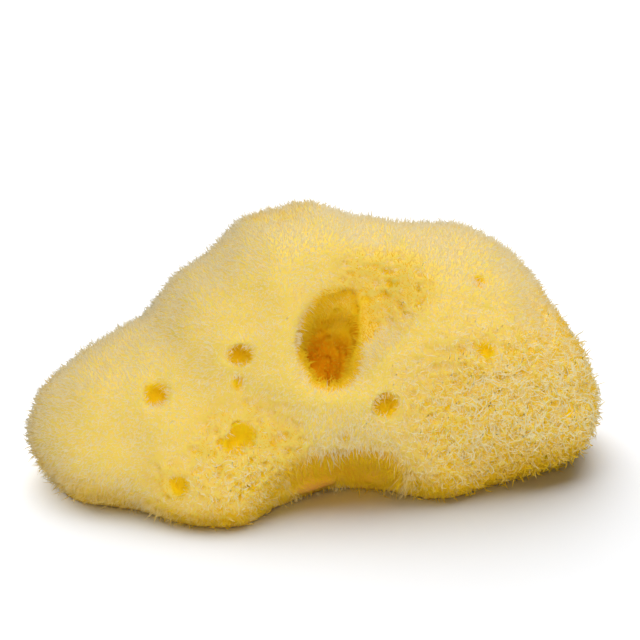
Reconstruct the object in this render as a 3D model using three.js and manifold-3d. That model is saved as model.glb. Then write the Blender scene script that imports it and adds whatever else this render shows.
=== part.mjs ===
// A natural sea sponge: one soft, lumpy piece of spongin with oscula (the large outflow holes),
// an arched hollow under its front, and a flat cut underneath where it was taken off the rock.
// Millimetres, +Z up, front towards -Y. The origin is the middle of the box's lowest face.
import * as THREE from "three";
import { mergeVertices } from "three/addons/utils/BufferGeometryUtils.js";
import Module from "manifold-3d";

// Driving dimensions
const BODY_CENTRE = new THREE.Vector3(0, 0, 26); // every ray that finds the skin starts here
const BODY_SPREAD = new THREE.Vector3(75, 46, 40); // half sizes that space the skin's facets evenly
const SKIN_DETAIL = 15; // subdivisions of the icosahedron that becomes the skin
const LOBE_BLEND = 13; // how far neighbouring lobes flow into each other
const HOLLOW_BLEND = 7; // how softly a hollow's edge rounds over
const LUMP_HEIGHT = 1.1; // low swellings between the lobes
const LUMP_LENGTH = 19; // distance from one swelling to the next
const LONGEST_RAY = 110; // longer than from the body's centre to any point of the skin
const RAY_STEPS = 24; // halvings that find the skin on a ray
const SLOPE_STEP = 0.5; // how far to each side the skin's slope is taken
const SHORTEST_REACH = 1e-6; // nearer than this, a point is at an ellipsoid's middle
const WELD_DISTANCE = 1e-4; // corners nearer than this are one
const CUT_BLOCK = 440; // side of the block that cuts the underside flat
const CUT_LEAN = -0.25; // canals in the cut lean forward as they come out
const OSCULUM_SIDES = 14;
const THROAT_STEPS = 5;
const MOUTH_FLARE = 0.5; // how far a mouth flares out above the skin, as a share of its narrow side
const MOUTH_RADIUS = 0.62; // where it flares out, as a share of the mouth's width

// An osculum's throat from its closed end to the skin: its radius as a share of the mouth's width, and
// how deep it lies as a share of the whole depth
const THROAT = [
  { radius: 0, deep: 1 },
  { radius: 0.3, deep: 0.93 },
  { radius: 0.42, deep: 0.6 },
  { radius: 0.5, deep: 0 },
];

// How a mouth's outline strays from an ellipse: waves in a full turn, and their height as a share of its size
const MOUTH_WAVES = [
  { waves: 2, height: 0.08 },
  { waves: 3, height: 0.13 },
  { waves: 5, height: 0.06 },
];

// The three crossed waves that make the low swellings: the way each runs, and how far it is shifted
const LUMP_WAVES = [
  { along: [1, 0.4, 0], shift: 0 },
  { along: [0, 0.8, -0.5], shift: 5 },
  { along: [0.3, 0, 1], shift: 9 },
];

// Lobes that grow together into the body: middle, half sizes, and turn about Z in degrees
const LOBES = [
  { name: "heart", at: [4, 2, 25], half: [46, 37, 34], turn: 0 },
  { name: "crown", at: [-4, 7, 47], half: [20, 23, 18], turn: 0 },
  { name: "right shoulder", at: [33, 6, 38], half: [26, 27, 21], turn: 0 },
  { name: "right face", at: [44, -6, 24], half: [24, 20, 22], turn: -15 },
  { name: "right end", at: [56, -1, 14], half: [20, 22, 18], turn: 0 },
  { name: "right foot", at: [27, -15, 9], half: [19, 18, 14], turn: 0 },
  { name: "left shoulder", at: [-24, 0, 32], half: [15.5, 22, 16], turn: 0 },
  { name: "left arm", at: [-41, -8, 19], half: [26, 24, 17], turn: 25 },
  { name: "left tip", at: [-57, -15, 12], half: [17, 17, 12], turn: 0 },
  { name: "left foot", at: [-49, -19, 5], half: [13, 15, 9], turn: 0 },
  { name: "front foot", at: [-24, -27, 8], half: [20, 18, 15], turn: 0 },
  { name: "back bulge", at: [8, 25, 20], half: [34, 20, 22], turn: 0 },
  { name: "back left", at: [-26, 18, 16], half: [22, 20, 20], turn: 0 },
];

// Hollows pressed into the lobes
const HOLLOWS = [
  { name: "front arch", at: [14, -42, 2], half: [11, 17, 13], turn: 0 },
  { name: "side of the arch", at: [3, -44.5, 4.5], half: [12, 13, 12], turn: 0 },
  { name: "osculum funnel", at: [11, -24, 58], half: [17, 13, 11], turn: 0 },
  { name: "osculum slope", at: [12, -22, 50], half: [8, 9, 9.5], turn: 0 },
  { name: "osculum bowl", at: [4.5, -29, 42], half: [7.5, 8, 8.5], turn: 0 },
];

// Oscula, each where a ray from the body's centre meets the skin: the ray's bearing (0 is the front,
// 90 the right) and elevation, the mouth's width and height, its depth, and its roll. An osculum runs in
// at a right angle to the skin unless its own bearing and elevation are given as its aim.
const OSCULA = [
  { name: "great osculum", ray: [12, 33], mouth: [14, 20], depth: 22, roll: -30, aim: [30, 60] },
  { name: "left eye", ray: [-34, 24], mouth: [7, 4.8], depth: 8, roll: 0 },
  { name: "left pit", ray: [-54, 6], mouth: [4.5, 6.5], depth: 7, roll: 0 },
  { name: "left pore", ray: [-32, 13], mouth: [3, 4.4], depth: 5, roll: 0 },
  { name: "foot slit", ray: [-26, -4], mouth: [11, 3.8], depth: 6.5, roll: 30 },
  { name: "foot pit", ray: [-38, -14], mouth: [5.5, 4], depth: 5, roll: -20 },
  { name: "tip dimple", ray: [-70, 3.4], mouth: [3.4, 2.6], depth: 2.5, roll: 30 },
  { name: "tip dent", ray: [-73, 6.3], mouth: [3.6, 2.8], depth: 2.5, roll: 30 },
  { name: "right eye", ray: [29, 5], mouth: [4.6, 7], depth: 8, roll: 10 },
  { name: "right dent", ray: [55, 18.5], mouth: [4.6, 3.6], depth: 3.5, roll: 0 },
  { name: "right slot", ray: [60, 16.4], mouth: [6, 3.6], depth: 4, roll: 5 },
  { name: "right notch", ray: [66, 14.2], mouth: [3.4, 2.4], depth: 3, roll: 0 },
  { name: "right pore", ray: [45, -3], mouth: [2.4, 2.2], depth: 3.5, roll: 0 },
  { name: "shoulder pore", ray: [75, 33], mouth: [4.4, 3.2], depth: 5, roll: 0 },
  { name: "end pit", ray: [72, -4], mouth: [3.2, 5.5], depth: 5, roll: 20 },
  { name: "saddle pore", ray: [13, -10], mouth: [4.2, 2.6], depth: 3.5, roll: 15 },
  { name: "back osculum", ray: [165, 28], mouth: [11, 13], depth: 16, roll: 20, aim: [160, 48] },
  { name: "back eye", ray: [-155, 22], mouth: [6, 7.5], depth: 8, roll: -20 },
  { name: "back pit", ray: [130, 12], mouth: [5.5, 4.5], depth: 7, roll: 0 },
  { name: "back pore", ray: [178, 4], mouth: [4, 3.2], depth: 5, roll: 40 },
  { name: "back slit", ray: [-128, 3], mouth: [8, 3.4], depth: 6, roll: -15 },
  { name: "tail pit", ray: [108, 4], mouth: [4.2, 5.5], depth: 6, roll: 0 },
  { name: "crown pore", ray: [-150, 62], mouth: [4.5, 4], depth: 5, roll: 0 },
  { name: "right canal", ray: [65, -55], mouth: [6, 5], depth: 9, roll: 30 },
  { name: "left canal", ray: [-80, -58], mouth: [7, 5.5], depth: 8, roll: -20 },
  { name: "back canal", ray: [175, -60], mouth: [5, 4.5], depth: 8, roll: 0 },
];

const UP = new THREE.Vector3(0, 0, 1);
const SPONGE_YELLOW = 0xe6c46c;
const SPONGE_ROUGHNESS = 0.95;

const wasm = await Module();
wasm.setup();

// The lesser of two distances, rounded over where they are nearly equal
function smoothMin(a, b, blend) {
  const share = Math.max(blend - Math.abs(a - b), 0) / blend;
  return Math.min(a, b) - (share * share * blend) / 4;
}

// Signed distance, near enough, from a point to an ellipsoid: below zero inside.
function ellipsoidDistance(point, { at, half, turn }) {
  const local = point
    .clone()
    .sub(new THREE.Vector3(...at))
    .applyAxisAngle(UP, -THREE.MathUtils.degToRad(turn));
  const size = new THREE.Vector3(...half);
  const scaled = local.divide(size);
  const reach = scaled.length();
  if (reach < SHORTEST_REACH) return -Math.min(...half);
  return (reach * (reach - 1)) / scaled.divide(size).length();
}

// How far the low swellings lift the skin at a point
function lump(point) {
  const turns = (2 * Math.PI) / LUMP_LENGTH;
  const waves = LUMP_WAVES.map(({ along, shift }) => {
    const way = point.dot(new THREE.Vector3(...along)) + shift;
    return Math.sin(turns * way);
  });
  return (LUMP_HEIGHT / waves.length) * waves.reduce((sum, wave) => sum + wave, 0);
}

// Signed distance, near enough, from a point to the whole body before it is cut
function bodyDistance(point) {
  const toLobes = LOBES.map((lobe) => ellipsoidDistance(point, lobe));
  const toHollows = HOLLOWS.map((hollow) => ellipsoidDistance(point, hollow));
  const grown = toLobes.reduce((body, lobe) => smoothMin(body, lobe, LOBE_BLEND));
  const pressed = toHollows.reduce((body, hollow) => -smoothMin(-body, hollow, HOLLOW_BLEND), grown);
  return pressed - lump(point);
}

// The skin's point on a ray from the body's centre, before the underside is cut
function skinPoint(direction) {
  let inside = 0;
  let outside = LONGEST_RAY;
  for (let step = 0; step < RAY_STEPS; step += 1) {
    const middle = (inside + outside) / 2;
    const point = direction.clone().multiplyScalar(middle).add(BODY_CENTRE);
    if (bodyDistance(point) < 0) inside = middle;
    else outside = middle;
  }
  return direction.clone().multiplyScalar(inside).add(BODY_CENTRE);
}

// Unit vector at a bearing from the front and an elevation, both in degrees
function towards([bearing, elevation]) {
  const turn = THREE.MathUtils.degToRad(bearing);
  const rise = THREE.MathUtils.degToRad(elevation);
  const level = Math.cos(rise);
  return new THREE.Vector3(Math.sin(turn) * level, -Math.cos(turn) * level, Math.sin(rise));
}

// The skin's outward direction at a point on it
function skinNormal(point) {
  const slope = ["x", "y", "z"].map((axis) => {
    const ahead = point.clone();
    const behind = point.clone();
    ahead[axis] += SLOPE_STEP;
    behind[axis] -= SLOPE_STEP;
    return bodyDistance(ahead) - bodyDistance(behind);
  });
  return new THREE.Vector3(...slope).normalize();
}

// A closed solid to cut with or from, made of a geometry's corners and faces
function solidOf(geometry) {
  const bare = geometry.clone();
  bare.deleteAttribute("normal");
  bare.deleteAttribute("uv");
  const merged = mergeVertices(bare, WELD_DISTANCE);
  return new wasm.Manifold(
    new wasm.Mesh({
      numProp: 3,
      vertProperties: new Float32Array(merged.attributes.position.array),
      triVerts: new Uint32Array(merged.index.array),
    }),
  );
}

// A solid's corners and faces as a geometry to show
function geometryOf(solid) {
  const { vertProperties, triVerts } = solid.getMesh();
  const geometry = new THREE.BufferGeometry();
  geometry.setAttribute("position", new THREE.BufferAttribute(vertProperties, 3));
  geometry.setIndex(new THREE.BufferAttribute(triVerts, 1));
  geometry.computeVertexNormals();
  return geometry;
}

// The closed skin of the body: an icosphere whose corners go out to it
function skin() {
  const geometry = new THREE.IcosahedronGeometry(1, SKIN_DETAIL);
  const position = geometry.getAttribute("position");
  for (let i = 0; i < position.count; i += 1) {
    const corner = new THREE.Vector3().fromBufferAttribute(position, i);
    const direction = corner.multiply(BODY_SPREAD).normalize();
    position.setXYZ(i, ...skinPoint(direction));
  }
  return solidOf(geometry);
}

// Where an osculum opens, on the skin or on the flat cut, and the way it faces
function osculumMouth(ray, aim) {
  const direction = towards(ray);
  const start = skinPoint(direction);
  if (start.z > 0) return { start, axis: aim ? towards(aim) : skinNormal(start) };
  const onTheCut = direction.multiplyScalar(-BODY_CENTRE.z / direction.z).add(BODY_CENTRE);
  return { start: onTheCut, axis: new THREE.Vector3(0, CUT_LEAN, -1).normalize() };
}

// Bends the round of an osculum's space into an uneven outline, a different one for each bearing
function unevenOutline(space, bearing) {
  const position = space.getAttribute("position");
  for (let i = 0; i < position.count; i += 1) {
    const angle = Math.atan2(position.getY(i), position.getX(i));
    const swell = MOUTH_WAVES.map(({ waves, height }) => height * Math.sin(waves * (angle + bearing)));
    const share = swell.reduce((sum, wave) => sum + wave, 1);
    position.setX(i, position.getX(i) * share);
    position.setY(i, position.getY(i) * share);
  }
}

// The space of one osculum: a throat that narrows inwards, and flares out through the skin
function osculumSpace({ ray, mouth, depth, roll, aim }) {
  const { start, axis } = osculumMouth(ray, aim);
  const [width, height] = mouth;
  const flare = Math.min(width, height) * MOUTH_FLARE;
  const wall = THROAT.map(({ radius, deep }) => new THREE.Vector2(radius, -deep * depth));
  const rim = new THREE.Vector2(MOUTH_RADIUS, flare);
  const throat = new THREE.SplineCurve([...wall, rim]).getPoints(THROAT_STEPS);
  const lid = new THREE.Vector2(0, flare);
  const space = new THREE.LatheGeometry([...throat, lid], OSCULUM_SIDES);
  space.rotateX(Math.PI / 2);
  unevenOutline(space, ray[0]);
  space.scale(width, height, 1);
  space.rotateZ(THREE.MathUtils.degToRad(roll));
  const across = new THREE.Vector3().crossVectors(UP, axis).normalize();
  const along = new THREE.Vector3().crossVectors(axis, across);
  space.applyMatrix4(new THREE.Matrix4().makeBasis(across, along, axis).setPosition(start));
  return solidOf(space);
}

// Everything below the plane where it was cut off the rock
function belowTheCut() {
  const block = new THREE.BoxGeometry(CUT_BLOCK, CUT_BLOCK, CUT_BLOCK);
  block.translate(0, 0, -CUT_BLOCK / 2);
  return solidOf(block);
}

// The sponge: the skin less the cut and the oscula, moved so that its box stands on the origin
function sponge() {
  const cuts = [belowTheCut(), ...OSCULA.map(osculumSpace)];
  const solid = cuts.reduce((body, cut) => body.subtract(cut), skin());
  const material = new THREE.MeshStandardMaterial({
    color: SPONGE_YELLOW,
    roughness: SPONGE_ROUGHNESS,
    metalness: 0,
  });
  const geometry = geometryOf(solid);
  geometry.computeBoundingBox();
  const middle = geometry.boundingBox.getCenter(new THREE.Vector3());
  geometry.translate(-middle.x, -middle.y, 0);
  const mesh = new THREE.Mesh(geometry, material);
  mesh.name = "sponge";
  return mesh;
}

const part = new THREE.Group();
part.add(sponge());

export default part;
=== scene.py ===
"""A natural sea sponge: its skin, its nap of fibres and its loose threads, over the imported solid."""

import math

import bpy
import numpy as np
from bpy.props import FloatProperty, FloatVectorProperty, IntProperty, PointerProperty
from bpy.types import Operator, Panel, PropertyGroup
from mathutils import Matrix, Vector, noise
from mathutils.bvhtree import BVHTree


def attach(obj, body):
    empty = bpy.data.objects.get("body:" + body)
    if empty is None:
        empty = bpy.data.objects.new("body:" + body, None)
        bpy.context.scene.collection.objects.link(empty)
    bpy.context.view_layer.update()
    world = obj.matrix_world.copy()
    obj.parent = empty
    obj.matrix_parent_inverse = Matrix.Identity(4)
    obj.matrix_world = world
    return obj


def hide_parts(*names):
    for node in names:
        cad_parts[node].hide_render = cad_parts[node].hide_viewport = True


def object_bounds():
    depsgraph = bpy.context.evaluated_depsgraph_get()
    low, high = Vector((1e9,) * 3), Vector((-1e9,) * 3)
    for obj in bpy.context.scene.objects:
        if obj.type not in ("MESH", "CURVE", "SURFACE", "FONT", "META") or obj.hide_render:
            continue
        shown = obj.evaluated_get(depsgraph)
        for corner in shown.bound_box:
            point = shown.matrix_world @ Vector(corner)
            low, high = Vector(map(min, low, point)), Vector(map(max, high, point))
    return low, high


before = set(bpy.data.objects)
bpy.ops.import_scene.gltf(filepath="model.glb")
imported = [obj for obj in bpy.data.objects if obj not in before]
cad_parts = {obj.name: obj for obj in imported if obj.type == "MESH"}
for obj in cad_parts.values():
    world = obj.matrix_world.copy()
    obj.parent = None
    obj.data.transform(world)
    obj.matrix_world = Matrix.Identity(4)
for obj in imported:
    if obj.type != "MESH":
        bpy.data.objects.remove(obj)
CAD_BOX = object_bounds()

bl_info = {
    "name": "Sea sponge",
    "version": (1, 0, 0),
    "blender": (4, 5, 0),
    "location": "View3D > Sidebar > Sponge",
    "description": "Grows a natural bath sponge's skin, nap and threads over its packed solid",
    "category": "Add Mesh",
}

SOLID = "sponge"
BODY = "root"
SKIN = "sponge_skin"
BAKE_MAP = "OFBake"

# What the skin's corners remember: how shut in they are by walls and by the floor, how coarse the growth
# is, how far small pores crowd there, the pores themselves, the bare recess, the throats and the cut
FIELDS = ("shelter", "low", "coarse", "crowd", "pore", "bare", "throat", "cut")

GOLDEN_ANGLE = math.pi * (3 - math.sqrt(5))
TINY = 1e-12
CELL_CORNERS = 4

# How shelter is measured, and how often the fields and the skin's facing are evened out
SHELTER_RAYS = 28
SHELTER_LIFT = 0.0005
LOWEST_FACING = 0.2
FIELD_BLUR_ROUNDS = 4
BROAD_ROUNDS = 60

# How much shelter rises in a metre where a rim counts as steep
STEEP_RIM = 120.0

# The strands: their sides, how far they take the skin's light, and where they lie on the bake map
RING_SIDES = 3
SKIN_LIGHT = 0.4
MAP_HALF_WIDTH = 0.004
MAP_MARGIN = 0.02

# Shifts that keep one noise apart from another
NOISE_SHIFTS = (0.0, 17.3, 41.9)
PORE_SHIFT = 0.1
PORE_WARP_SHIFT = 3.0
PORE_SIZE_SHIFT = 5.0
STRAY_PATCH_SHIFT = 7.0
CLOSING_SHIFT = 9.0

# Where the growth turns coarse, in shares of the solid's box
COARSE_RIGHT = (0.55, 0.80)
COARSE_TOP = (0.45, 0.80)
COARSE_LEAST = 0.05

# Spans of shelter over which something begins and is then whole
SETTLING_SHELTER = (0.05, 0.30)
RIM_SHELTER = (0.03, 0.20)
THROAT_SHELTER = (0.15, 0.45)
WALL_SHELTER = (0.08, 0.35)
PORELESS_SHELTER = (0.10, 0.30)
THROAT_SHADE_SHELTER = (0.25, 0.65)
NAP_RIM_SHELTER = (0.05, 0.20)
NAP_INNER_SHELTER = (0.5, 0.8)
NAP_THIN_SHELTER = (0.25, 0.50)
NAP_SHORT_SHELTER = (0.3, 0.7)
SHADE_SHELTER = (0.01, 0.08)
THREADLESS_SHELTER = (0.25, 0.45)

# The edge of a patch, in shares of its radius
PATCH_EDGE = (0.55, 1.25)

# The cut underside: how far down it faces, how high it reaches, and where its torn front edge ends
CUT_FACING = (0.85, 0.98)
CUT_HEIGHT = (0.0010, 0.0025)
TORN_RIGHT = (0.003, 0.008)
TORN_HEIGHT = (0.0025, 0.0045)
MOSTLY_CUT = 0.5

# How the rims of pits draw in, and how the small pores and tiny peaks of the skin vary
CLOSING_LEAST = 0.2
CLOSING_SWING = 1.5
PORE_EDGE = (0.18, 0.40)
PORE_SWING = 0.6
PORE_LEAST = 0.4
PORE_SIZE_CHANGE = 0.3
COARSE_PORE_GAIN = 0.25
COARSE_PORE_DEPTH = 0.3
THROAT_PORES = 0.7
STRAY_PATCH_SIZE = 0.022
STRAY_PATCH_SPAN = (0.25, 0.5)
STRAY_PATCH_CROWD = 0.25
CONULE_MIDDLE = 0.55
FINE_CONULES = 0.3

# The skin's finish: the sizes of its clouds, specks and grain, how they tint it, its relief and its glow
CLOUD_SIZE = 0.009
SPECK_SIZE = 0.0008
GRAIN_SIZE = 0.0017
NOISE_MIDDLE = 0.5
# Painted shade: how far the floor, pores, hollows, throats and the recess deepen the skin's colour, varied
# by its clouds and specks
SKIN_LOW_SHADE = 0.4
SKIN_PORE_SHADE = 0.5
CLOUD_TINT = 0.20
SPECK_TINT = 0.10
HOLLOW_SHADE_SPAN = (0.10, 0.45)
RECESS_SHADE = 0.6
CLOUD_SHADE = 0.3
DEEP_SHADE_SPAN = (0.0, 1.0)
CUT_COVER = 0.65
CUT_CLOUD = 0.5
RELIEF_STRENGTH = 0.5
RELIEF_HEIGHT = 0.0003
RELIEF_SPECKS = 0.6
RELIEF_GRAIN = 0.4
SKIN_ROUGHNESS = 0.78
CLOUD_ROUGHNESS = 0.2
SPECULAR_LEVEL = 0.05
GLOW = 0.35
GLOW_RADIUS = (1.0, 0.5, 0.12)
GLOW_SCALE = 0.002
FIBRE_ROUGHNESS = 0.85
TIP_SMOOTHNESS = 0.15

# Kinds of fibre from short to long: the share that is at least so long, and the spread of lengths
FIBRE_KINDS = ((1.0, (0.45, 0.8)), (0.30, (0.8, 1.2)), (0.06, (1.2, 1.7)))

# What changes the lean and the length of the nap
CROWD_TUFTS = 2.0
COARSE_STRAY = 0.8
PORE_SIDE = (0.35, 0.70)
SMALL_PIT_OVERHANG = 0.1
OVERHANG_SPREAD = (0.1, 1.0)
EDGE_DROOP = 4.0
SHELTER_SHORTER = 0.45
PORE_SHORTER = 0.5
CUT_SHORTER = 0.7
EDGE_LONGER = 0.5
BARE_LONGER = 0.3
LOW_LONGER = 0.25
BEND_LEAN = 0.6
TIP_LEAN = 1.2
TIP_TURN = 0.35

# How thick the nap grows: thicker on the rims of oscula, thinner on walls and in the fields named
RIM_THICKER = 0.8
WALL_THINNER = 0.85
THROAT_KEPT = 0.4
FIELD_THINNER = {"pore": 0.9, "bare": 0.6, "cut": 0.9, "throat": 0.80}

# Painted shade that turns the nap golden: on the open skin of the shaded places, where it is shut in, in
# the recess, low by the floor, by pores and between tufts; then tone at random
OPEN_SHADE = 0.17
BARE_SHADE = 0.5
BARE_SHADE_SPAN = (0.3, 0.9)
SHUT_SHADE_SPAN = (0.10, 0.34)
LOW_SHADE = 0.35
LOW_SHADE_SPAN = (0.15, 0.60)
PORE_SHADE = 0.9
PORE_SHADE_SPAN = (0.35, 0.60)
TUFT_SHADE = 0.10
CROWD_SHADE = 0.70
TUFT_SHADE_SPAN = (0.20, 0.60)
NAP_SHADES = (-0.20, 0.10)

# The threads: how they rise and wobble, where they grow, and how much painted shade turns them golden
THREAD_RISE = 0.7
THREAD_WOBBLE = 0.25
FINE_THREADS = 0.65
THREAD_SPREAD = (0.5, 1.4)
THREAD_GIRTHS = (0.7, 1.2)
OPEN_THREADS = 0.015
FRINGE_THREADS = 0.7
PORE_THREADLESS = 0.95
BACK_THREADS = 0.1
FRONT_FACING = (-0.1, 0.5)
THREAD_SHADE_SPAN = (0.05, 0.6)
THREAD_LOW_SHADE = 0.7
THREAD_SHADES = (-0.3, 0.1)

# The stage
WHITE = (1.0, 1.0, 1.0, 1.0)
FLOOR_ROUGHNESS = 0.9
FLOOR_SPECULAR = 0.1
NEAREST_SEEN = 0.01

# Patches where small pores crowd: middle in metres and radius
PORE_PATCHES = (
    ((-0.017, -0.034, 0.014), 0.017),
    ((0.017, -0.017, 0.057), 0.013),
    ((0.046, -0.024, 0.018), 0.024),
    ((-0.034, -0.034, 0.010), 0.010),
    ((0.030, 0.034, 0.030), 0.018),
    ((-0.030, 0.030, 0.022), 0.016),
)

# The smooth recess under the arch, where hardly a fibre grows
RECESSES = (
    ((0.002, -0.032, 0.007), 0.010),
    ((0.012, -0.029, 0.008), 0.011),
)

# The throats of the great osculum and of the one at the back
THROATS = (
    ((0.001, -0.024, 0.036), 0.011),
    ((0.000, -0.009, 0.029), 0.013),
    ((0.006, -0.016, 0.047), 0.010),
    ((0.009, 0.031, 0.044), 0.009),
)

# Where the nap takes painted shade: round the mouths of the oscula, and low on the front foot and the left
# end
SHADED_PLACES = (
    ((0.001, -0.024, 0.038), 0.010),
    ((-0.003, -0.019, 0.049), 0.008),
    ((0.007, -0.017, 0.049), 0.011),
    ((0.009, 0.031, 0.044), 0.009),
    ((-0.028, -0.043, 0.003), 0.012),
    ((-0.054, -0.032, 0.000), 0.012),
)

# The front foot and the rim over the recess, where threads hang
FRINGES = (
    ((-0.020, -0.042, 0.008), 0.014),
    ((0.004, -0.037, 0.018), 0.007),
    ((0.013, -0.034, 0.020), 0.008),
)


def metres(name, description, default):
    """A setting that is a length."""
    return FloatProperty(name=name, description=description, default=default, unit="LENGTH")


def watts(name, description, default):
    """A setting that is a light's power."""
    return FloatProperty(name=name, description=description, default=default, unit="POWER")


def tint(name, description, default):
    """A setting that is a colour."""
    return FloatVectorProperty(name=name, description=description, default=default, subtype="COLOR", size=3)


def spot(name, description, default):
    """A setting that is a point."""
    return FloatVectorProperty(
        name=name, description=description, default=default, subtype="TRANSLATION", size=3
    )


class SkinSettings(PropertyGroup):
    """Sizes and colours of the sponge's skin."""

    grain: metres("Grain", "Size of the skin mesh's cells", 0.00072)
    rounding: IntProperty(
        name="Rounding", description="How often the cells are smoothed", default=8, min=0
    )
    settling: IntProperty(
        name="Settling", description="How often the walls of hollows are smoothed", default=36, min=0
    )
    filling: IntProperty(
        name="Filling", description="How often the small pits are smoothed", default=22, min=0
    )
    nap_room: metres("Nap room", "How far the skin lies below the solid, for the nap", 0.0017)
    rough_size: metres("Roughness size", "Distance between the skin's uneven places", 0.0060)
    rough_height: metres("Roughness height", "How far uneven places rise", 0.0005)
    conule_gap: metres("Conule gap", "Distance between the skin's tiny peaks", 0.0022)
    conule_height: metres("Conule height", "How far the tiny peaks rise", 0.0004)
    pore_gap: metres("Pore gap", "Distance between small pores in a patch", 0.0029)
    pore_depth: metres("Pore depth", "How deep a small pore is", 0.0017)
    pore_warp: metres("Pore warp", "How far a small pore strays from round", 0.0009)
    shelter_reach: metres("Shelter reach", "How far off a wall still shuts a place in", 0.013)
    floor_reach: metres("Floor reach", "How far off the floor still darkens a place", 0.030)
    rim_warp: metres("Rim warp", "How far the rims of the oscula stray", 0.0012)
    rim_size: metres("Rim size", "Distance between bends of a rim", 0.0040)
    pit_closing: metres("Pit closing", "How far the rims of small pits draw in", 0.0006)
    open_colour: tint("Open skin", "Colour of the skin in the open", (0.95, 0.74, 0.16))
    # Painted shade: the hollow and deep colours stand for shade in hollows, pores, the throats, the recess
    # and low by the floor
    hollow_shade_colour: tint("Hollow skin", "Colour in shallow hollows", (0.98, 0.69, 0.011))
    deep_shade_colour: tint("Deep skin", "Colour deep in the oscula", (0.98, 0.49, 0.004))
    cut_colour: tint("Cut skin", "Colour of the cut underside", (0.66, 0.27, 0.08))


class NapSettings(PropertyGroup):
    """Sizes and colours of the nap of short fibres."""

    seed: IntProperty(name="Seed", description="Which of the possible naps grows", default=11)
    fibres: IntProperty(
        name="Fibres", description="How many fibres each part of the nap has", default=26000
    )
    fine_length: metres("Fine length", "Length of fibres on the smooth side", 0.0022)
    coarse_length: metres("Coarse length", "Length of fibres on the coarse side", 0.0023)
    fine_girth: metres("Fine girth", "Half thickness of fibres on the smooth side", 0.00011)
    coarse_girth: metres("Coarse girth", "Half thickness of fibres on the coarse side", 0.00014)
    sink: metres("Sink", "How deep a fibre is rooted", 0.0003)
    comb_size: metres("Comb size", "Distance over which fibres lean alike", 0.010)
    comb: FloatProperty(name="Comb", description="How far fibres lean alike", default=0.35)
    tuft: FloatProperty(name="Tuft", description="How far fibres gather into tufts", default=0.40)
    tuft_gap: metres("Tuft gap", "Distance from one tuft to the next", 0.0016)
    overhang: FloatProperty(
        name="Overhang", description="How far fibres lean over the oscula's rims", default=1.6
    )
    parting: FloatProperty(
        name="Parting", description="How far fibres lean away from small pores", default=1.5
    )
    stray: FloatProperty(name="Stray", description="How far each fibre leans its own way", default=0.30)
    droop: FloatProperty(name="Droop", description="How far fibres hang down", default=0.18)
    perk: FloatProperty(name="Perk", description="How far fibres near the floor stand up", default=0.7)
    floor_gap: metres("Floor gap", "Lowest that a fibre lies", 0.0002)
    # The root's golden tone is partly the fibre's own and partly painted shade deep in the nap; the shaded
    # root and tip colours are painted shade
    root_colour: tint("Root", "Colour at a fibre's root", (0.95, 0.69, 0.16))
    tip_colour: tint("Tip", "Colour at a fibre's tip", (0.94, 0.90, 0.75))
    shaded_root_colour: tint("Deep root", "Colour of roots in the oscula", (0.96, 0.55, 0.011))
    shaded_tip_colour: tint("Deep tip", "Colour of tips in the oscula", (0.97, 0.66, 0.018))


class ThreadSettings(PropertyGroup):
    """Sizes and colours of the long loose threads."""

    seed: IntProperty(name="Seed", description="Which of the possible threads grow", default=23)
    threads: IntProperty(name="Threads", description="How many threads each part has", default=3600)
    length: metres("Length", "Length of a usual thread", 0.0036)
    girth: metres("Girth", "Half thickness of a thread", 0.00016)
    steps: IntProperty(name="Steps", description="How many bends a thread has", default=5)
    curl: FloatProperty(name="Curl", description="How far a thread turns at each bend", default=0.30)
    hang: FloatProperty(name="Hang", description="How far a thread turns down at each bend", default=0.10)
    fall: FloatProperty(name="Fall", description="How far a thread turns back to the skin", default=0.28)
    # The root's golden tone is partly the thread's own and partly painted shade deep in the nap
    root_colour: tint("Root", "Colour at a thread's root", (0.95, 0.79, 0.29))
    tip_colour: tint("Tip", "Colour at a thread's tip", (0.96, 0.91, 0.68))


class StageSettings(PropertyGroup):
    """The floor, the lights and the camera."""

    floor_size: metres("Floor size", "Side of the floor", 6.0)
    floor_colour: tint("Floor", "Colour of the floor", (0.915, 0.928, 0.955))
    sky: FloatProperty(name="Sky", description="Strength of the light from all round", default=0.10)
    key_power: watts("Key", "Power of the main light, on the sponge alone", 4.6)
    key_size: metres("Key size", "Side of the main light", 0.8)
    key_place: spot("Key place", "Where the main light hangs", (0.14, -0.50, 1.05))
    fill_power: watts("Fill", "Power of the light from the front, on the sponge alone", 3.1)
    fill_size: metres("Fill size", "Side of the light from the front", 0.8)
    fill_place: spot("Fill place", "Where the light from the front stands", (0.06, -0.98, 0.60))
    rim_power: watts("Rim", "Power of the light from behind, on the sponge alone", 6.0)
    rim_size: metres("Rim size", "Side of the light from behind", 1.2)
    rim_place: spot("Rim place", "Where the light from behind hangs", (0.20, 0.58, 0.85))
    floor_power: watts("Floor light", "Power of the light on the floor alone", 12.0)
    floor_light_size: metres("Floor light size", "Side of the light on the floor", 1.0)
    floor_light_place: spot("Floor light place", "Where the light on the floor hangs", (-0.13, 0.29, 0.72))
    camera_rise: FloatProperty(
        name="Camera rise", description="How far the camera looks down", default=math.radians(25),
        subtype="ANGLE", unit="ROTATION",
    )
    camera_distance: metres("Camera distance", "From the camera to its aim", 0.392)
    camera_aim: spot("Camera aim", "The point at the picture's middle", (0.0006, -0.0003, 0.0370))
    camera_lens: FloatProperty(
        name="Lens", description="Focal length in millimetres", default=85.0, unit="CAMERA"
    )


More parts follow.
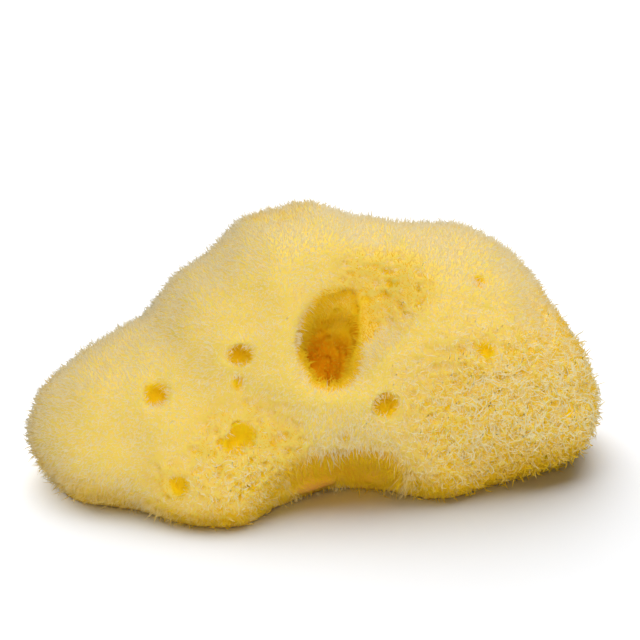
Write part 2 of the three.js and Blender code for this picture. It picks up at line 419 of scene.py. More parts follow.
class Value:
    """One socket of a finish, so that maths on it can be written as an expression."""

    def __init__(self, finish, socket):
        self.finish = finish
        self.socket = socket

    def math(self, operation, first, second):
        """Add one Math node for an operation on two values or numbers."""
        return self.finish.node("Math", {"operation": operation}, {0: first, 1: second})

    def __add__(self, other):
        return self.math("ADD", self, other)

    def __radd__(self, other):
        return self.math("ADD", other, self)

    def __sub__(self, other):
        return self.math("SUBTRACT", self, other)

    def __rsub__(self, other):
        return self.math("SUBTRACT", other, self)

    def __mul__(self, other):
        return self.math("MULTIPLY", self, other)

    def __rmul__(self, other):
        return self.math("MULTIPLY", other, self)


class Finish:
    """A material made of nodes."""

    def __init__(self, name):
        self.material = bpy.data.materials.new(name)
        self.material.use_nodes = True
        self.tree = self.material.node_tree
        self.tree.nodes.clear()

    def node(self, kind, settings=None, sockets=None, output=0):
        """Add a node, set it, then fill or link its sockets; gives one of its outputs."""
        made = self.tree.nodes.new("ShaderNode" + kind)
        for name, setting in (settings or {}).items():
            setattr(made, name, setting)
        for name, value in (sockets or {}).items():
            if isinstance(value, Value):
                self.tree.links.new(value.socket, made.inputs[name])
            else:
                made.inputs[name].default_value = value
        if not made.outputs:
            return None
        return Value(self, made.outputs[output])

    def field(self, name):
        """A number that the mesh's corners remember."""
        return self.node("Attribute", {"attribute_name": name, "attribute_type": "GEOMETRY"}, output="Fac")

    def mix(self, factor, first, second):
        """A colour part of the way from one to another."""
        return self.node("Mix", {"data_type": "RGBA"}, {"Factor": factor, 6: first, 7: second}, 2)

    def ramp(self, value, span):
        """How far a value is through a span, eased at both ends."""
        low, high = span
        ends = {"Value": value, "From Min": low, "From Max": high}
        return self.node("MapRange", {"interpolation_type": "SMOOTHSTEP"}, ends)

    def grain(self, size, detail=2.0):
        """Noise of a size in metres, from 0 to 1."""
        place = self.node("NewGeometry")
        return self.node("TexNoise", None, {"Vector": place, "Scale": 1 / size, "Detail": detail})

    def finish(self, shader):
        """Make a shader the material's surface."""
        self.node("OutputMaterial", None, {"Surface": shader})
        return self.material


def opaque(colour):
    """A colour setting as a socket's value."""
    return (*colour, 1.0)


def eased(span, values):
    """How far values are through a span, from 0 to 1, eased at both ends."""
    low, high = span
    share = np.clip((values - low) / (high - low), 0, 1)
    return share * share * (3 - 2 * share)


def at_least(least, shares):
    """Shares from 0 to 1, moved to run from a least value to 1."""
    return least + (1 - least) * shares


def edge_of(shares):
    """How near shares are to a half: 1 there, and 0 at no share and at a whole one."""
    return 4 * shares * (1 - shares)


def unit(vectors):
    """Vectors at length one."""
    return vectors / np.maximum(np.linalg.norm(vectors, axis=-1, keepdims=True), TINY)


def along_skin(vectors, normals):
    """The part of vectors that lies along the skin."""
    return vectors - normals * np.sum(vectors * normals, axis=1, keepdims=True)


def swell(points, size, shift=0.0):
    """Soft noise at points, from about -1 to 1, with features of a size."""
    return np.array([noise.noise(place) for place in (points / size + shift).tolist()])


def swell_vectors(points, size, shift=0.0):
    """Soft vector noise at points, with features of a size."""
    return np.stack([swell(points, size, shift + aside) for aside in NOISE_SHIFTS], axis=1)


def nearest_cells(points, gap):
    """How far points are from scattered cell middles, in gaps, and where those middles are."""
    found = [noise.voronoi(place) for place in (points / gap).tolist()]
    distances = np.array([near[0][0] for near in found])
    middles = np.array([near[1][0] for near in found]) * gap
    return distances, middles


def read(items, name, width, kind=np.float32):
    """One property of all a mesh's items as an array."""
    values = np.empty(len(items) * width, dtype=kind)
    items.foreach_get(name, values)
    if width == 1:
        return values
    return values.reshape(-1, width)


def ball_directions(count):
    """Unit vectors spread evenly over a ball."""
    steps = np.arange(count) + 1 / 2
    rise = 1 - 2 * steps / count
    level = np.sqrt(1 - rise * rise)
    turn = GOLDEN_ANGLE * steps
    return np.stack([np.cos(turn) * level, np.sin(turn) * level, rise], axis=1)


def shelter_of(points, normals, polygons, reach, floor_reach):
    """How shut in each point of the skin is by walls and by the floor, from 0 in the open to 1."""
    tree = BVHTree.FromPolygons(points.tolist(), polygons.tolist())
    directions = ball_directions(SHELTER_RAYS)
    ways = [Vector(direction) for direction in directions]
    facing = normals @ directions.T
    starts = points + SHELTER_LIFT * normals
    shelter = np.zeros(len(points))
    low = np.zeros(len(points))
    for index, start in enumerate(starts.tolist()):
        row = facing[index]
        rays = np.flatnonzero(row > LOWEST_FACING)
        whole = row[rays].sum()
        blocked = [row[ray] for ray in rays if tree.ray_cast(start, ways[ray], reach)[0] is not None]
        shelter[index] = sum(blocked) / whole
        low[index] = row[rays][start[2] + floor_reach * directions[rays, 2] < 0].sum() / whole
    return shelter, low


def blurred(values, edges, rounds):
    """Values on a mesh's corners, each evened out with its neighbours."""
    count = len(values)
    first, second = edges.T
    neighbours = np.bincount(first, minlength=count) + np.bincount(second, minlength=count)
    for _ in range(rounds):
        total = np.bincount(first, values[second], count) + np.bincount(second, values[first], count)
        values = (values + total) / (1 + neighbours)
    return values


def slope_of(values, points, edges):
    """The way along the skin in which values rise, and how steeply."""
    first, second = edges.T
    ways = points[second] - points[first]
    steps = (values[second] - values[first]) / np.sum(ways * ways, axis=1)
    rises = steps[:, None] * ways
    count = len(points)
    total = [np.bincount(first, rise, count) + np.bincount(second, rise, count) for rise in rises.T]
    neighbours = np.bincount(first, minlength=count) + np.bincount(second, minlength=count)
    return 2 * np.stack(total, axis=1) / neighbours[:, None]


def blurred_vectors(vectors, edges, rounds):
    """Vectors on a mesh's corners, each evened out with its neighbours."""
    return np.stack([blurred(axis, edges, rounds) for axis in vectors.T], axis=1)


def inward_of(shelter, points, edges):
    """The way along the skin into the nearest hollow, shorter where its rim is gentle."""
    slope = slope_of(shelter, points, edges)
    return slope / np.maximum(np.linalg.norm(slope, axis=1, keepdims=True), STEEP_RIM)


def settled(points, edges, shelter, rounds):
    """Points of the skin, smoothed where they are shut in."""
    hold = eased(SETTLING_SHELTER, shelter)[:, None]
    for _ in range(rounds):
        even = blurred_vectors(points, edges, 1)
        points = points + hold * (even - points)
    return points


def coarseness(points):
    """How coarse the growth is: fine on the left and on top, coarse low on the right."""
    low, high = np.array(CAD_BOX)
    share = (points - low) / (high - low)
    right = eased(COARSE_RIGHT, share[:, 0])
    below = 1 - eased(COARSE_TOP, share[:, 2])
    return right * at_least(COARSE_LEAST, below)


def patches(points, places):
    """How far points are in patches of the skin, from 0 to 1."""
    crowd = np.zeros(len(points))
    for middle, radius in places:
        distance = np.linalg.norm(points - np.array(middle), axis=1)
        crowd = np.maximum(crowd, 1 - eased(PATCH_EDGE, distance / radius))
    return crowd


def pore_cells(points, coarse, settings):
    """How far points are from the nearest small pore's middle, in shares of its size, and that middle."""
    warp = settings.pore_warp * swell_vectors(points, settings.pore_gap, PORE_WARP_SHIFT)
    distances, middles = nearest_cells(points + warp + PORE_SHIFT, settings.pore_gap)
    middles -= PORE_SHIFT
    size = 1 + PORE_SWING * swell(middles, PORE_SIZE_CHANGE * settings.pore_gap, PORE_SIZE_SHIFT)
    return distances / np.maximum(size, PORE_LEAST) / (1 + COARSE_PORE_GAIN * coarse), middles


def store(mesh, name, values):
    """Keep a number for each of a mesh's corners."""
    attribute = mesh.attributes.new(name, "FLOAT", "POINT")
    attribute.data.foreach_set("value", np.asarray(values, dtype=np.float32))


def shown(name, mesh):
    """A new object for a mesh, in the scene."""
    piece = bpy.data.objects.new(name, mesh)
    bpy.context.scene.collection.objects.link(piece)
    return piece


def new_mesh(name, points, faces):
    """A mesh of points and of faces that all have as many corners."""
    mesh = bpy.data.meshes.new(name)
    mesh.vertices.add(len(points))
    mesh.vertices.foreach_set("co", points.ravel())
    mesh.loops.add(faces.size)
    mesh.loops.foreach_set("vertex_index", faces.ravel())
    mesh.polygons.add(len(faces))
    mesh.polygons.foreach_set("loop_start", np.arange(0, faces.size, faces.shape[1]))
    mesh.update(calc_edges=True)
    return mesh


def in_order(points, faces):
    """The same points and faces, sorted, so that they come in one order however they were made."""
    order = np.lexsort(points.T)
    rank = np.empty(len(order), dtype=np.int32)
    rank[order] = np.arange(len(order))
    faces = rank[faces]
    corners = faces.shape[1]
    turn = (faces.argmin(axis=1)[:, None] + np.arange(corners)) % corners
    faces = np.take_along_axis(faces, turn, axis=1)
    return points[order], faces[np.lexsort(faces.T[::-1])]


def even_cells(solid, grain, rounding):
    """A mesh of the solid's form in even cells, with its facets smoothed away."""
    draft = shown(SKIN + "_draft", solid.data.copy())
    cells = draft.modifiers.new("cells", "REMESH")
    cells.mode = "VOXEL"
    cells.voxel_size = grain
    graph = bpy.context.evaluated_depsgraph_get()
    found = bpy.data.meshes.new_from_object(draft.evaluated_get(graph))
    points = read(found.vertices, "co", 3)
    faces = read(found.loops, "vertex_index", 1, np.int32).reshape(-1, CELL_CORNERS)
    bpy.data.objects.remove(draft)
    bpy.data.meshes.remove(found)
    mesh = new_mesh(SKIN, *in_order(points, faces))
    edges = read(mesh.edges, "vertices", 2, np.int32)
    rounded = blurred_vectors(read(mesh.vertices, "co", 3).astype(float), edges, rounding)
    mesh.vertices.foreach_set("co", rounded.ravel())
    mesh.update()
    return mesh


def skin_finish(settings):
    """Matt golden spongin with painted shade: deeper golden where walls, the floor and pores shut it in,
    deep orange in the throats and the recess; the cut colour on the cut.
    """
    finish = Finish("spongin_skin")
    shelter = finish.field("shelter")
    cloud = finish.grain(CLOUD_SIZE)
    speck = finish.grain(SPECK_SIZE)
    clouds = cloud - NOISE_MIDDLE
    specks = speck - NOISE_MIDDLE
    # Painted shade: the skin turns to the hollow colour where walls, the floor and pores shut it in, varied
    # by clouds and specks
    shut_in = shelter + SKIN_LOW_SHADE * finish.field("low") + SKIN_PORE_SHADE * finish.field("pore")
    depth = shut_in + CLOUD_TINT * clouds + SPECK_TINT * specks
    # Painted shade: deep orange in the throats and in the recess under the arch, varied by clouds
    throat = finish.field("throat") * finish.ramp(shelter, THROAT_SHADE_SHELTER)
    throat_and_recess_shade = throat + RECESS_SHADE * finish.field("bare") + CLOUD_SHADE * clouds
    hollow = finish.mix(
        finish.ramp(depth, HOLLOW_SHADE_SPAN), opaque(settings.open_colour), opaque(settings.hollow_shade_colour)
    )
    deep = finish.mix(finish.ramp(throat_and_recess_shade, DEEP_SHADE_SPAN), hollow, opaque(settings.deep_shade_colour))
    cut = finish.field("cut") * (CUT_COVER + CUT_CLOUD * clouds)
    height = RELIEF_SPECKS * speck + RELIEF_GRAIN * finish.grain(GRAIN_SIZE)
    relief = finish.node(
        "Bump", None, {"Strength": RELIEF_STRENGTH, "Distance": RELIEF_HEIGHT, "Height": height}
    )
    shader = finish.node(
        "BsdfPrincipled",
        None,
        {
            "Base Color": finish.mix(cut, deep, opaque(settings.cut_colour)),
            "Roughness": SKIN_ROUGHNESS + CLOUD_ROUGHNESS * cloud,
            "Normal": relief,
            "Specular IOR Level": SPECULAR_LEVEL,
            "Subsurface Weight": GLOW,
            "Subsurface Radius": GLOW_RADIUS,
            "Subsurface Scale": GLOW_SCALE,
        },
    )
    return finish.finish(shader)


def fibre_finish(name, settings, nap):
    """Pale matt fibre, golden towards its root, partly its own tone and partly painted shade deep in the
    nap; the painted shade the strands carry turns it to the shaded colours, deepest in the oscula.
    """
    finish = Finish(name)
    along = finish.field("along")
    shade = finish.field("shade")
    # Painted shade: the shaded colours, mixed in where the strand's shade is low
    deep = finish.mix(along, opaque(nap.shaded_root_colour), opaque(nap.shaded_tip_colour))
    pale = finish.mix(along, opaque(settings.root_colour), opaque(settings.tip_colour))
    shader = finish.node(
        "BsdfPrincipled",
        None,
        {
            "Base Color": finish.mix(shade, deep, pale),
            "Roughness": FIBRE_ROUGHNESS - TIP_SMOOTHNESS * along,
            "Specular IOR Level": SPECULAR_LEVEL,
        },
    )
    return finish.finish(shader)


class SkinSurface:
    """The finished skin as arrays, for what grows on it."""

    def __init__(self):
        mesh = bpy.data.objects[SKIN].data
        mesh.calc_loop_triangles()
        self.points = read(mesh.vertices, "co", 3).astype(float)
        self.normals = read(mesh.vertex_normals, "vector", 3).astype(float)
        self.triangles = read(mesh.loop_triangles, "vertices", 3, np.int32)
        self.fields = {name: read(mesh.attributes[name].data, "value", 1) for name in FIELDS}
        edges = read(mesh.edges, "vertices", 2, np.int32)
        self.inward = inward_of(self.fields["shelter"], self.points, edges)
        self.broad = blurred_vectors(self.normals, edges, BROAD_ROUNDS)

    def scatter(self, density, count, rng):
        """Places all over the skin, more where the density is high."""
        corners = self.points[self.triangles]
        sides = np.cross(corners[:, 1] - corners[:, 0], corners[:, 2] - corners[:, 0])
        weight = np.linalg.norm(sides, axis=1) * density[self.triangles].mean(axis=1)
        ladder = np.cumsum(weight)
        rungs = (np.arange(count) + rng.random(count)) / count * ladder[-1]
        found = np.minimum(np.searchsorted(ladder, rungs), len(weight) - 1)
        spread = np.sqrt(rng.random(count))
        second = rng.random(count)
        shares = np.stack([1 - spread, spread * (1 - second), spread * second], axis=1)
        return Places(self, self.triangles[found], shares)


class Places:
    """Points scattered on the skin, with the skin's values there."""

    def __init__(self, skin, corners, shares):
        self.points = np.einsum("nc,ncx->nx", shares, skin.points[corners])
        self.normals = unit(np.einsum("nc,ncx->nx", shares, skin.normals[corners]))
        self.inward = np.einsum("nc,ncx->nx", shares, skin.inward[corners])
        self.broad = unit(np.einsum("nc,ncx->nx", shares, skin.broad[corners]))
        for name in FIELDS:
            setattr(self, name, np.einsum("nc,nc->n", shares, skin.fields[name][corners]))


def strands(name, lines, girths, shade, normals, material):
    """One piece of many closed, pointed strands, lit softly as the form below them is."""
    count, steps, _ = lines.shape
    rings = steps - 2
    ways = unit(lines[:, 2:] - lines[:, :-2])
    aside = np.stack([ways[..., 1], ways[..., 2], ways[..., 0]], axis=2)
    across = unit(np.cross(ways, aside))
    upright = np.cross(ways, across)
    taper = np.sqrt(np.sin(np.linspace(0, np.pi, steps)[1:-1]))
    reach = girths[:, None, None] * taper[None, :, None]
    points = np.empty((count, 2 + rings * RING_SIDES, 3))
    along = np.empty(points.shape[:2])
    offset = np.zeros(points.shape[:2])
    facing = np.repeat(SKIN_LIGHT * normals[:, None], points.shape[1], axis=1)
    points[:, 0] = lines[:, 0]
    points[:, -1] = lines[:, -1]
    along[:, 0] = 0
    along[:, -1] = 1
    height = np.linspace(0, 1, steps)[1:-1]
    for side in range(RING_SIDES):
        angle = 2 * math.pi * side / RING_SIDES
        rim = slice(1 + side, -1, RING_SIDES)
        outward = math.cos(angle) * across + math.sin(angle) * upright
        points[:, rim] = lines[:, 1:-1] + reach * outward
        facing[:, rim] += (1 - SKIN_LIGHT) * outward
        along[:, rim] = height
        offset[:, rim] = side - 1
    one = strand_faces(rings)
    faces = (one[None] + (np.arange(count) * points.shape[1])[:, None, None]).reshape(-1, 3)
    mesh = new_mesh(name, points.reshape(-1, 3), faces)
    shades = np.repeat(shade, points.shape[1])
    store(mesh, "along", along.ravel())
    store(mesh, "shade", shades)
    inner = 1 - 2 * MAP_MARGIN
    across_map = MAP_MARGIN + inner * along.ravel()
    up_map = MAP_MARGIN + inner * shades + MAP_HALF_WIDTH * offset.ravel()
    layer = mesh.uv_layers.new(name=BAKE_MAP)
    corners = np.stack([across_map, up_map], axis=1)[faces.ravel()]
    layer.data.foreach_set("uv", corners.astype(np.float32).ravel())
    mesh.shade_smooth()
    mesh.normals_split_custom_set_from_vertices(unit(facing.reshape(-1, 3)))
    mesh.materials.append(material)
    piece = shown(name, mesh)
    piece.visible_shadow = False
    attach(piece, BODY)


def strand_faces(rings):
    """The faces of one strand: a point at its root, rings of corners, and a point at its tip."""
    faces = []
    tip = 1 + rings * RING_SIDES
    for side in range(RING_SIDES):
        after = (side + 1) % RING_SIDES
        faces.append((0, 1 + after, 1 + side))
        for ring in range(rings - 1):
            here = 1 + ring * RING_SIDES
            above = here + RING_SIDES
            faces.append((here + side, here + after, above + side))
            faces.append((here + after, above + after, above + side))
        last = 1 + (rings - 1) * RING_SIDES
        faces.append((last + side, last + after, tip))
    return np.array(faces)


def strand_pieces(names, places, lines, girths, shade, material):
    """The strands that grow at places, from left to right in as many pieces as there are names."""
    order = np.argsort(places.points[:, 0], kind="stable")
    for name, part in zip(names, np.array_split(order, len(names))):
        strands(name, lines[part], girths[part], shade[part], places.broad[part], material)


def nap_lines(places, to_tuft, from_pore, pores, settings, rng):
    """Root, bend and tip of each fibre of the nap."""
    count = len(places.points)
    normals = places.normals
    comb = along_skin(swell_vectors(places.points, settings.comb_size), normals)
    tuft = along_skin(to_tuft, normals) * (1 + CROWD_TUFTS * places.crowd[:, None])
    own = along_skin(rng.normal(size=(count, 3)), normals)
    stray = settings.stray * (1 + COARSE_STRAY * places.coarse)
    beside = places.crowd * (1 - eased(PORE_SIDE, from_pore))
    away = unit(along_skin(places.points - pores, normals))
    lean = settings.comb * comb + settings.tuft * tuft + stray[:, None] * own
    lean += settings.parting * beside[:, None] * away
    rim = eased(RIM_SHELTER, places.shelter) * (1 - eased(NAP_INNER_SHELTER, places.shelter))
    great = at_least(SMALL_PIT_OVERHANG, patches(places.points, THROATS))
    reach = settings.overhang * great * rim * rng.uniform(*OVERHANG_SPREAD, count)
    lean += reach[:, None] * places.inward
    edge = edge_of(places.bare)
    lean[:, 2] += settings.perk * places.low - settings.droop * (1 + EDGE_DROOP * edge)
    usual = settings.fine_length + (settings.coarse_length - settings.fine_length) * places.coarse
    kind = rng.random(count)
    length = np.zeros(count)
    for share, spread in FIBRE_KINDS:
        length = np.where(kind < share, usual * rng.uniform(*spread, count), length)
    length *= 1 - SHELTER_SHORTER * eased(NAP_SHORT_SHELTER, places.shelter)
    length *= 1 - PORE_SHORTER * beside
    length *= 1 + EDGE_LONGER * edge + BARE_LONGER * places.bare + LOW_LONGER * places.low
    length *= 1 - CUT_SHORTER * places.cut
    half = length[:, None] / 2
    turn = along_skin(rng.normal(size=(count, 3)), normals)
    roots = places.points - settings.sink * normals
    bends = roots + settings.sink * normals + half * unit(normals + BEND_LEAN * lean)
    tips = bends + half * unit(normals + TIP_LEAN * lean + TIP_TURN * turn)
    lines = np.stack([roots, bends, tips], axis=1)
    lines[:, 1:, 2] = np.maximum(lines[:, 1:, 2], settings.floor_gap)
    return lines


def thread_lines(places, settings, nap, rng):
    """The bends of each long thread, which rises from the skin, curls and lies back on it."""
    count = len(places.points)
    normals = places.normals
    way = unit(THREAD_RISE * normals + along_skin(rng.normal(size=(count, 3)), normals))
    curl = settings.curl * rng.normal(size=(count, 1))
    length = settings.length * at_least(FINE_THREADS, places.coarse[:, None])
    step = length * rng.uniform(*THREAD_SPREAD, (count, 1)) / settings.steps
    lines = [places.points - nap.sink * normals]
    hang = np.array([0, 0, -settings.hang])
    for _ in range(settings.steps):
        lines.append(lines[-1] + step * way)
        wobble = THREAD_WOBBLE * rng.normal(size=(count, 3))
        way = unit(way + curl * np.cross(normals, way) - settings.fall * normals + wobble + hang)
    lines = np.stack(lines, axis=1)
    lines[:, 1:, 2] = np.maximum(lines[:, 1:, 2], nap.floor_gap)
    return lines


class SPONGE_OT_grow_skin(Operator):
    """Grow the sponge's skin, with its oscula, pores and tiny peaks, just below the solid"""

    bl_idname = "sponge.grow_skin"
    bl_label = "Grow the skin"

    def execute(self, context):
        settings = context.scene.sponge_skin
        mesh = even_cells(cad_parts[SOLID], settings.grain, settings.rounding)
        if not mesh.polygons:
            raise RuntimeError("the solid gave no skin")
        points = read(mesh.vertices, "co", 3).astype(float)
        normals = read(mesh.vertex_normals, "vector", 3).astype(float)
        edges = read(mesh.edges, "vertices", 2, np.int32)
        polygons = read(mesh.loops, "vertex_index", 1, np.int32).reshape(-1, CELL_CORNERS)
        shelter, low = shelter_of(points, normals, polygons, settings.shelter_reach, settings.floor_reach)
        shelter = blurred(shelter, edges, FIELD_BLUR_ROUNDS)
        low = blurred(low, edges, FIELD_BLUR_ROUNDS)
        points = settled(points, edges, shelter, settings.settling)
        deep = patches(points, THROATS)
        points = settled(points, edges, shelter * (1 - deep), settings.filling)
        broad = unit(blurred_vectors(normals, edges, BROAD_ROUNDS))
        closing = CLOSING_LEAST + CLOSING_SWING * swell(points, settings.rim_size, CLOSING_SHIFT)
        closing *= settings.pit_closing * (1 - deep)
        points += closing[:, None] * along_skin(inward_of(shelter, points, edges), broad)
        rim = eased(RIM_SHELTER, shelter)[:, None]
        points += settings.rim_warp * rim * along_skin(swell_vectors(points, settings.rim_size), normals)
        coarse = coarseness(points)
        cut = eased(CUT_FACING, -normals[:, 2]) * (1 - eased(CUT_HEIGHT, points[:, 2]))
        bare = patches(points, RECESSES)
        torn = bare * (1 - eased(TORN_RIGHT, points[:, 0])) * (1 - eased(TORN_HEIGHT, points[:, 2]))
        cut = np.maximum(cut, torn)
        throat = deep * eased(THROAT_SHELTER, shelter)
        from_pore, _ = pore_cells(points, coarse, settings)
        stray = eased(STRAY_PATCH_SPAN, swell(points, STRAY_PATCH_SIZE, STRAY_PATCH_SHIFT))
        crowd = np.maximum(patches(points, PORE_PATCHES), STRAY_PATCH_CROWD * stray)
        crowd = np.maximum(crowd, coarse) * (1 - bare) * (1 - cut) * (1 - eased(PORELESS_SHELTER, shelter))
        pore = (1 - eased(PORE_EDGE, from_pore)) * np.maximum(crowd, THROAT_PORES * throat)
        from_peak, _ = nearest_cells(points, settings.conule_gap)
        lift = settings.rough_height * (1 + shelter) * swell(points, settings.rough_size)
        lift += settings.conule_height * at_least(FINE_CONULES, coarse) * (CONULE_MIDDLE - from_peak)
        lift -= settings.pore_depth * (1 + COARSE_PORE_DEPTH * coarse) * pore
        lift = np.where(cut > MOSTLY_CUT, np.minimum(lift, 0), lift)
        points += lift[:, None] * normals
        sunk = settings.nap_room * (1 - cut) * (1 - deep * eased(WALL_SHELTER, shelter))
        points -= sunk[:, None] * broad
        points[:, 2] = np.maximum(points[:, 2], 0)
        mesh.vertices.foreach_set("co", points.ravel())
        for name, values in zip(FIELDS, (shelter, low, coarse, crowd, pore, bare, throat, cut)):
            store(mesh, name, values)
        mesh.shade_smooth()
        mesh.update()
        mesh.materials.append(skin_finish(settings))
        skin = shown(SKIN, mesh)
        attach(skin, BODY)
        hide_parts(SOLID)
        return {"FINISHED"}


class SPONGE_OT_grow_nap(Operator):
    """Grow the velvet nap of short fibres over the skin"""

    bl_idname = "sponge.grow_nap"
    bl_label = "Grow the nap"

    def execute(self, context):
        settings = context.scene.sponge_nap
        rng = np.random.default_rng(settings.seed)
        skin = SkinSurface()
        closed = eased(NAP_THIN_SHELTER, skin.fields["shelter"])
        rim = eased(NAP_RIM_SHELTER, skin.fields["shelter"])
        great = patches(skin.points, THROATS)
        density = (1 + RIM_THICKER * rim * great) * (1 - WALL_THINNER * closed * (1 - THROAT_KEPT * great))
        for name, share in FIELD_THINNER.items():
            density *= 1 - share * skin.fields[name]
        names = ("nap_left_end", "nap_left", "nap_right", "nap_right_end")
        places = skin.scatter(density, settings.fibres * len(names), rng)
        from_tuft, tufts = nearest_cells(places.points, settings.tuft_gap)
        from_pore, pores = pore_cells(places.points, places.coarse, context.scene.sponge_skin)
        to_tuft = (tufts - places.points) / settings.tuft_gap
        lines = nap_lines(places, to_tuft, from_pore, pores, settings, rng)
        girth = settings.fine_girth + (settings.coarse_girth - settings.fine_girth) * places.coarse
        # Painted shade on the nap: golden where it is shut in, in the throats, the recess and the shaded
        # places, low by the floor, by pores and between tufts, then varied at random
        placed_shade = patches(places.points, SHADED_PLACES)
        placed_shade *= at_least(OPEN_SHADE, eased(SHADE_SHELTER, places.shelter))
        shut_in = places.shelter + places.throat + BARE_SHADE * eased(BARE_SHADE_SPAN, places.bare) + placed_shade
        shade = 1 - eased(SHUT_SHADE_SPAN, shut_in) - LOW_SHADE * eased(LOW_SHADE_SPAN, places.low)
        shade -= PORE_SHADE * places.crowd * (1 - eased(PORE_SHADE_SPAN, from_pore))
        shade -= (TUFT_SHADE + CROWD_SHADE * places.crowd) * eased(TUFT_SHADE_SPAN, from_tuft)
        shade = np.clip(shade + rng.uniform(*NAP_SHADES, len(shade)), 0, 1)
        material = fibre_finish("spongin_nap", settings, settings)
        strand_pieces(names, places, lines, girth, shade, material)
        return {"FINISHED"}


class SPONGE_OT_grow_threads(Operator):
    """Grow the long curled threads on the coarse side, on the front foot and over the recess"""

    bl_idname = "sponge.grow_threads"
    bl_label = "Grow the threads"

    def execute(self, context):
        settings = context.scene.sponge_threads
        rng = np.random.default_rng(settings.seed)
        skin = SkinSurface()
        density = skin.fields["coarse"] + OPEN_THREADS + FRINGE_THREADS * patches(skin.points, FRINGES)
        density *= (1 - skin.fields["cut"]) * (1 - eased(THREADLESS_SHELTER, skin.fields["shelter"]))
        density *= (1 - PORE_THREADLESS * skin.fields["pore"]) * (1 - skin.fields["bare"])
        density *= at_least(BACK_THREADS, eased(FRONT_FACING, -skin.normals[:, 1]))
        names = ("threads_left", "threads_right")
        count = settings.threads * len(names)
        places = skin.scatter(density, count, rng)
        nap = context.scene.sponge_nap
        lines = thread_lines(places, settings, nap, rng)
        girth = settings.girth * rng.uniform(*THREAD_GIRTHS, count)
        # Painted shade on the threads: golden where they are shut in and low by the floor, then varied at
        # random
        shade = 1 - eased(THREAD_SHADE_SPAN, places.shelter + THREAD_LOW_SHADE * places.low)
        shade = np.clip(shade + rng.uniform(*THREAD_SHADES, count), 0, 1)
        material = fibre_finish("spongin_thread", settings, nap)
        strand_pieces(names, places, lines, girth, shade, material)
        return {"FINISHED"}


def hang_light(name, place, size, power, aim):
    """Hang a square soft light that faces a point."""
    lamp = bpy.data.lights.new(name, "AREA")
    lamp.energy = power
    lamp.size = size
    light = bpy.data.objects.new(name, lamp)
    light.location = place
    light.rotation_euler = (aim - light.location).to_track_quat("-Z", "Y").to_euler()
    bpy.context.scene.collection.objects.link(light)
    return light


def tie(light, piece, state):
    """Let a light fall on one piece alone, or on all but that piece."""
    tied = bpy.data.collections.new(light.name + "_ties")
    tied.objects.link(piece)
    tied.collection_objects[0].light_linking.link_state = state
    light.light_linking.receiver_collection = tied


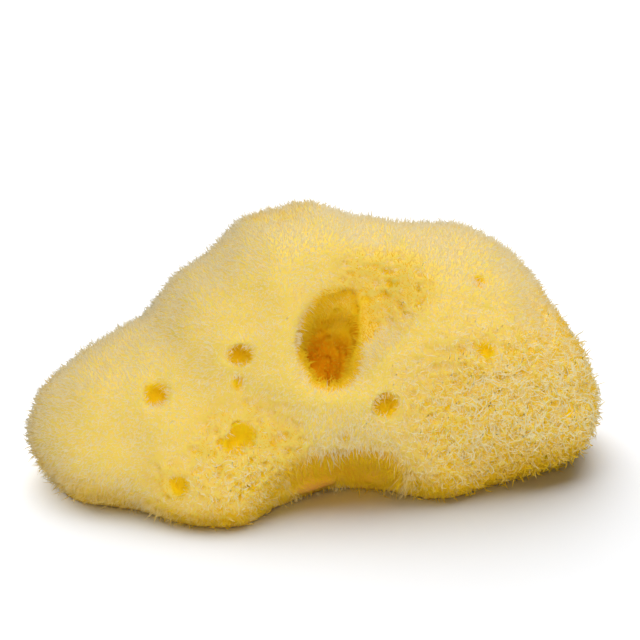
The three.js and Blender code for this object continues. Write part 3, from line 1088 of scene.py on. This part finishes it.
class SPONGE_OT_set_stage(Operator):
    """Lay the pale floor, hang the lights and set up the camera"""

    bl_idname = "sponge.set_stage"
    bl_label = "Set the stage"

    def execute(self, context):
        settings = context.scene.sponge_stage
        scene = context.scene
        half = settings.floor_size / 2
        mesh = bpy.data.meshes.new("studio_floor")
        mesh.from_pydata(
            [(-half, -half, 0), (half, -half, 0), (half, half, 0), (-half, half, 0)], [], [(0, 1, 2, 3)]
        )
        finish = Finish("studio_floor")
        shader = finish.node(
            "BsdfPrincipled",
            None,
            {
                "Base Color": opaque(settings.floor_colour),
                "Roughness": FLOOR_ROUGHNESS,
                "Specular IOR Level": FLOOR_SPECULAR,
            },
        )
        mesh.materials.append(finish.finish(shader))
        floor = shown("studio_floor", mesh)
        world = bpy.data.worlds.new("studio")
        world.use_nodes = True
        background = world.node_tree.nodes["Background"]
        background.inputs["Color"].default_value = WHITE
        background.inputs["Strength"].default_value = settings.sky
        scene.world = world
        aim = Vector(settings.camera_aim)
        for name in ("key", "fill", "rim"):
            place, size, power = (getattr(settings, name + part) for part in ("_place", "_size", "_power"))
            tie(hang_light(name, place, size, power, aim), floor, "EXCLUDE")
        overhead = hang_light(
            "overhead", settings.floor_light_place, settings.floor_light_size, settings.floor_power, aim
        )
        tie(overhead, floor, "INCLUDE")
        eye = bpy.data.cameras.new("photo_camera")
        eye.lens = settings.camera_lens
        eye.clip_start = NEAREST_SEEN
        camera = bpy.data.objects.new("photo_camera", eye)
        rise = settings.camera_rise
        back = Vector((0, -math.cos(rise), math.sin(rise)))
        camera.location = aim + settings.camera_distance * back
        camera.rotation_euler = (math.pi / 2 - rise, 0, 0)
        scene.collection.objects.link(camera)
        scene.camera = camera
        scene.view_settings.view_transform = "Standard"
        return {"FINISHED"}


class SPONGE_PT_sidebar(Panel):
    """Lists the sponge's makers and their settings"""

    bl_idname = "SPONGE_PT_sidebar"
    bl_label = "Sponge"
    bl_space_type = "VIEW_3D"
    bl_region_type = "UI"
    bl_category = "Sponge"

    def draw(self, context):
        for maker, settings_name in MAKERS:
            box = self.layout.box()
            box.operator(maker.bl_idname)
            settings = getattr(context.scene, settings_name)
            for name in settings.__annotations__:
                box.prop(settings, name)


MAKERS = (
    (SPONGE_OT_grow_skin, "sponge_skin"),
    (SPONGE_OT_grow_nap, "sponge_nap"),
    (SPONGE_OT_grow_threads, "sponge_threads"),
    (SPONGE_OT_set_stage, "sponge_stage"),
)
SETTINGS = {
    "sponge_skin": SkinSettings,
    "sponge_nap": NapSettings,
    "sponge_threads": ThreadSettings,
    "sponge_stage": StageSettings,
}


def register():
    """Make the settings, the makers and the panel known."""
    for name, settings in SETTINGS.items():
        bpy.utils.register_class(settings)
        setattr(bpy.types.Scene, name, PointerProperty(type=settings))
    for maker, _ in MAKERS:
        bpy.utils.register_class(maker)
    bpy.utils.register_class(SPONGE_PT_sidebar)


def unregister():
    """Take back what register made known."""
    bpy.utils.unregister_class(SPONGE_PT_sidebar)
    for maker, _ in reversed(MAKERS):
        bpy.utils.unregister_class(maker)
    for name, settings in SETTINGS.items():
        delattr(bpy.types.Scene, name)
        bpy.utils.unregister_class(settings)


def main():
    """Grow the sponge and set the stage."""
    register()
    bpy.ops.sponge.grow_skin()
    bpy.ops.sponge.grow_nap()
    bpy.ops.sponge.grow_threads()
    bpy.ops.sponge.set_stage()


if __name__ == "__main__":
    main()
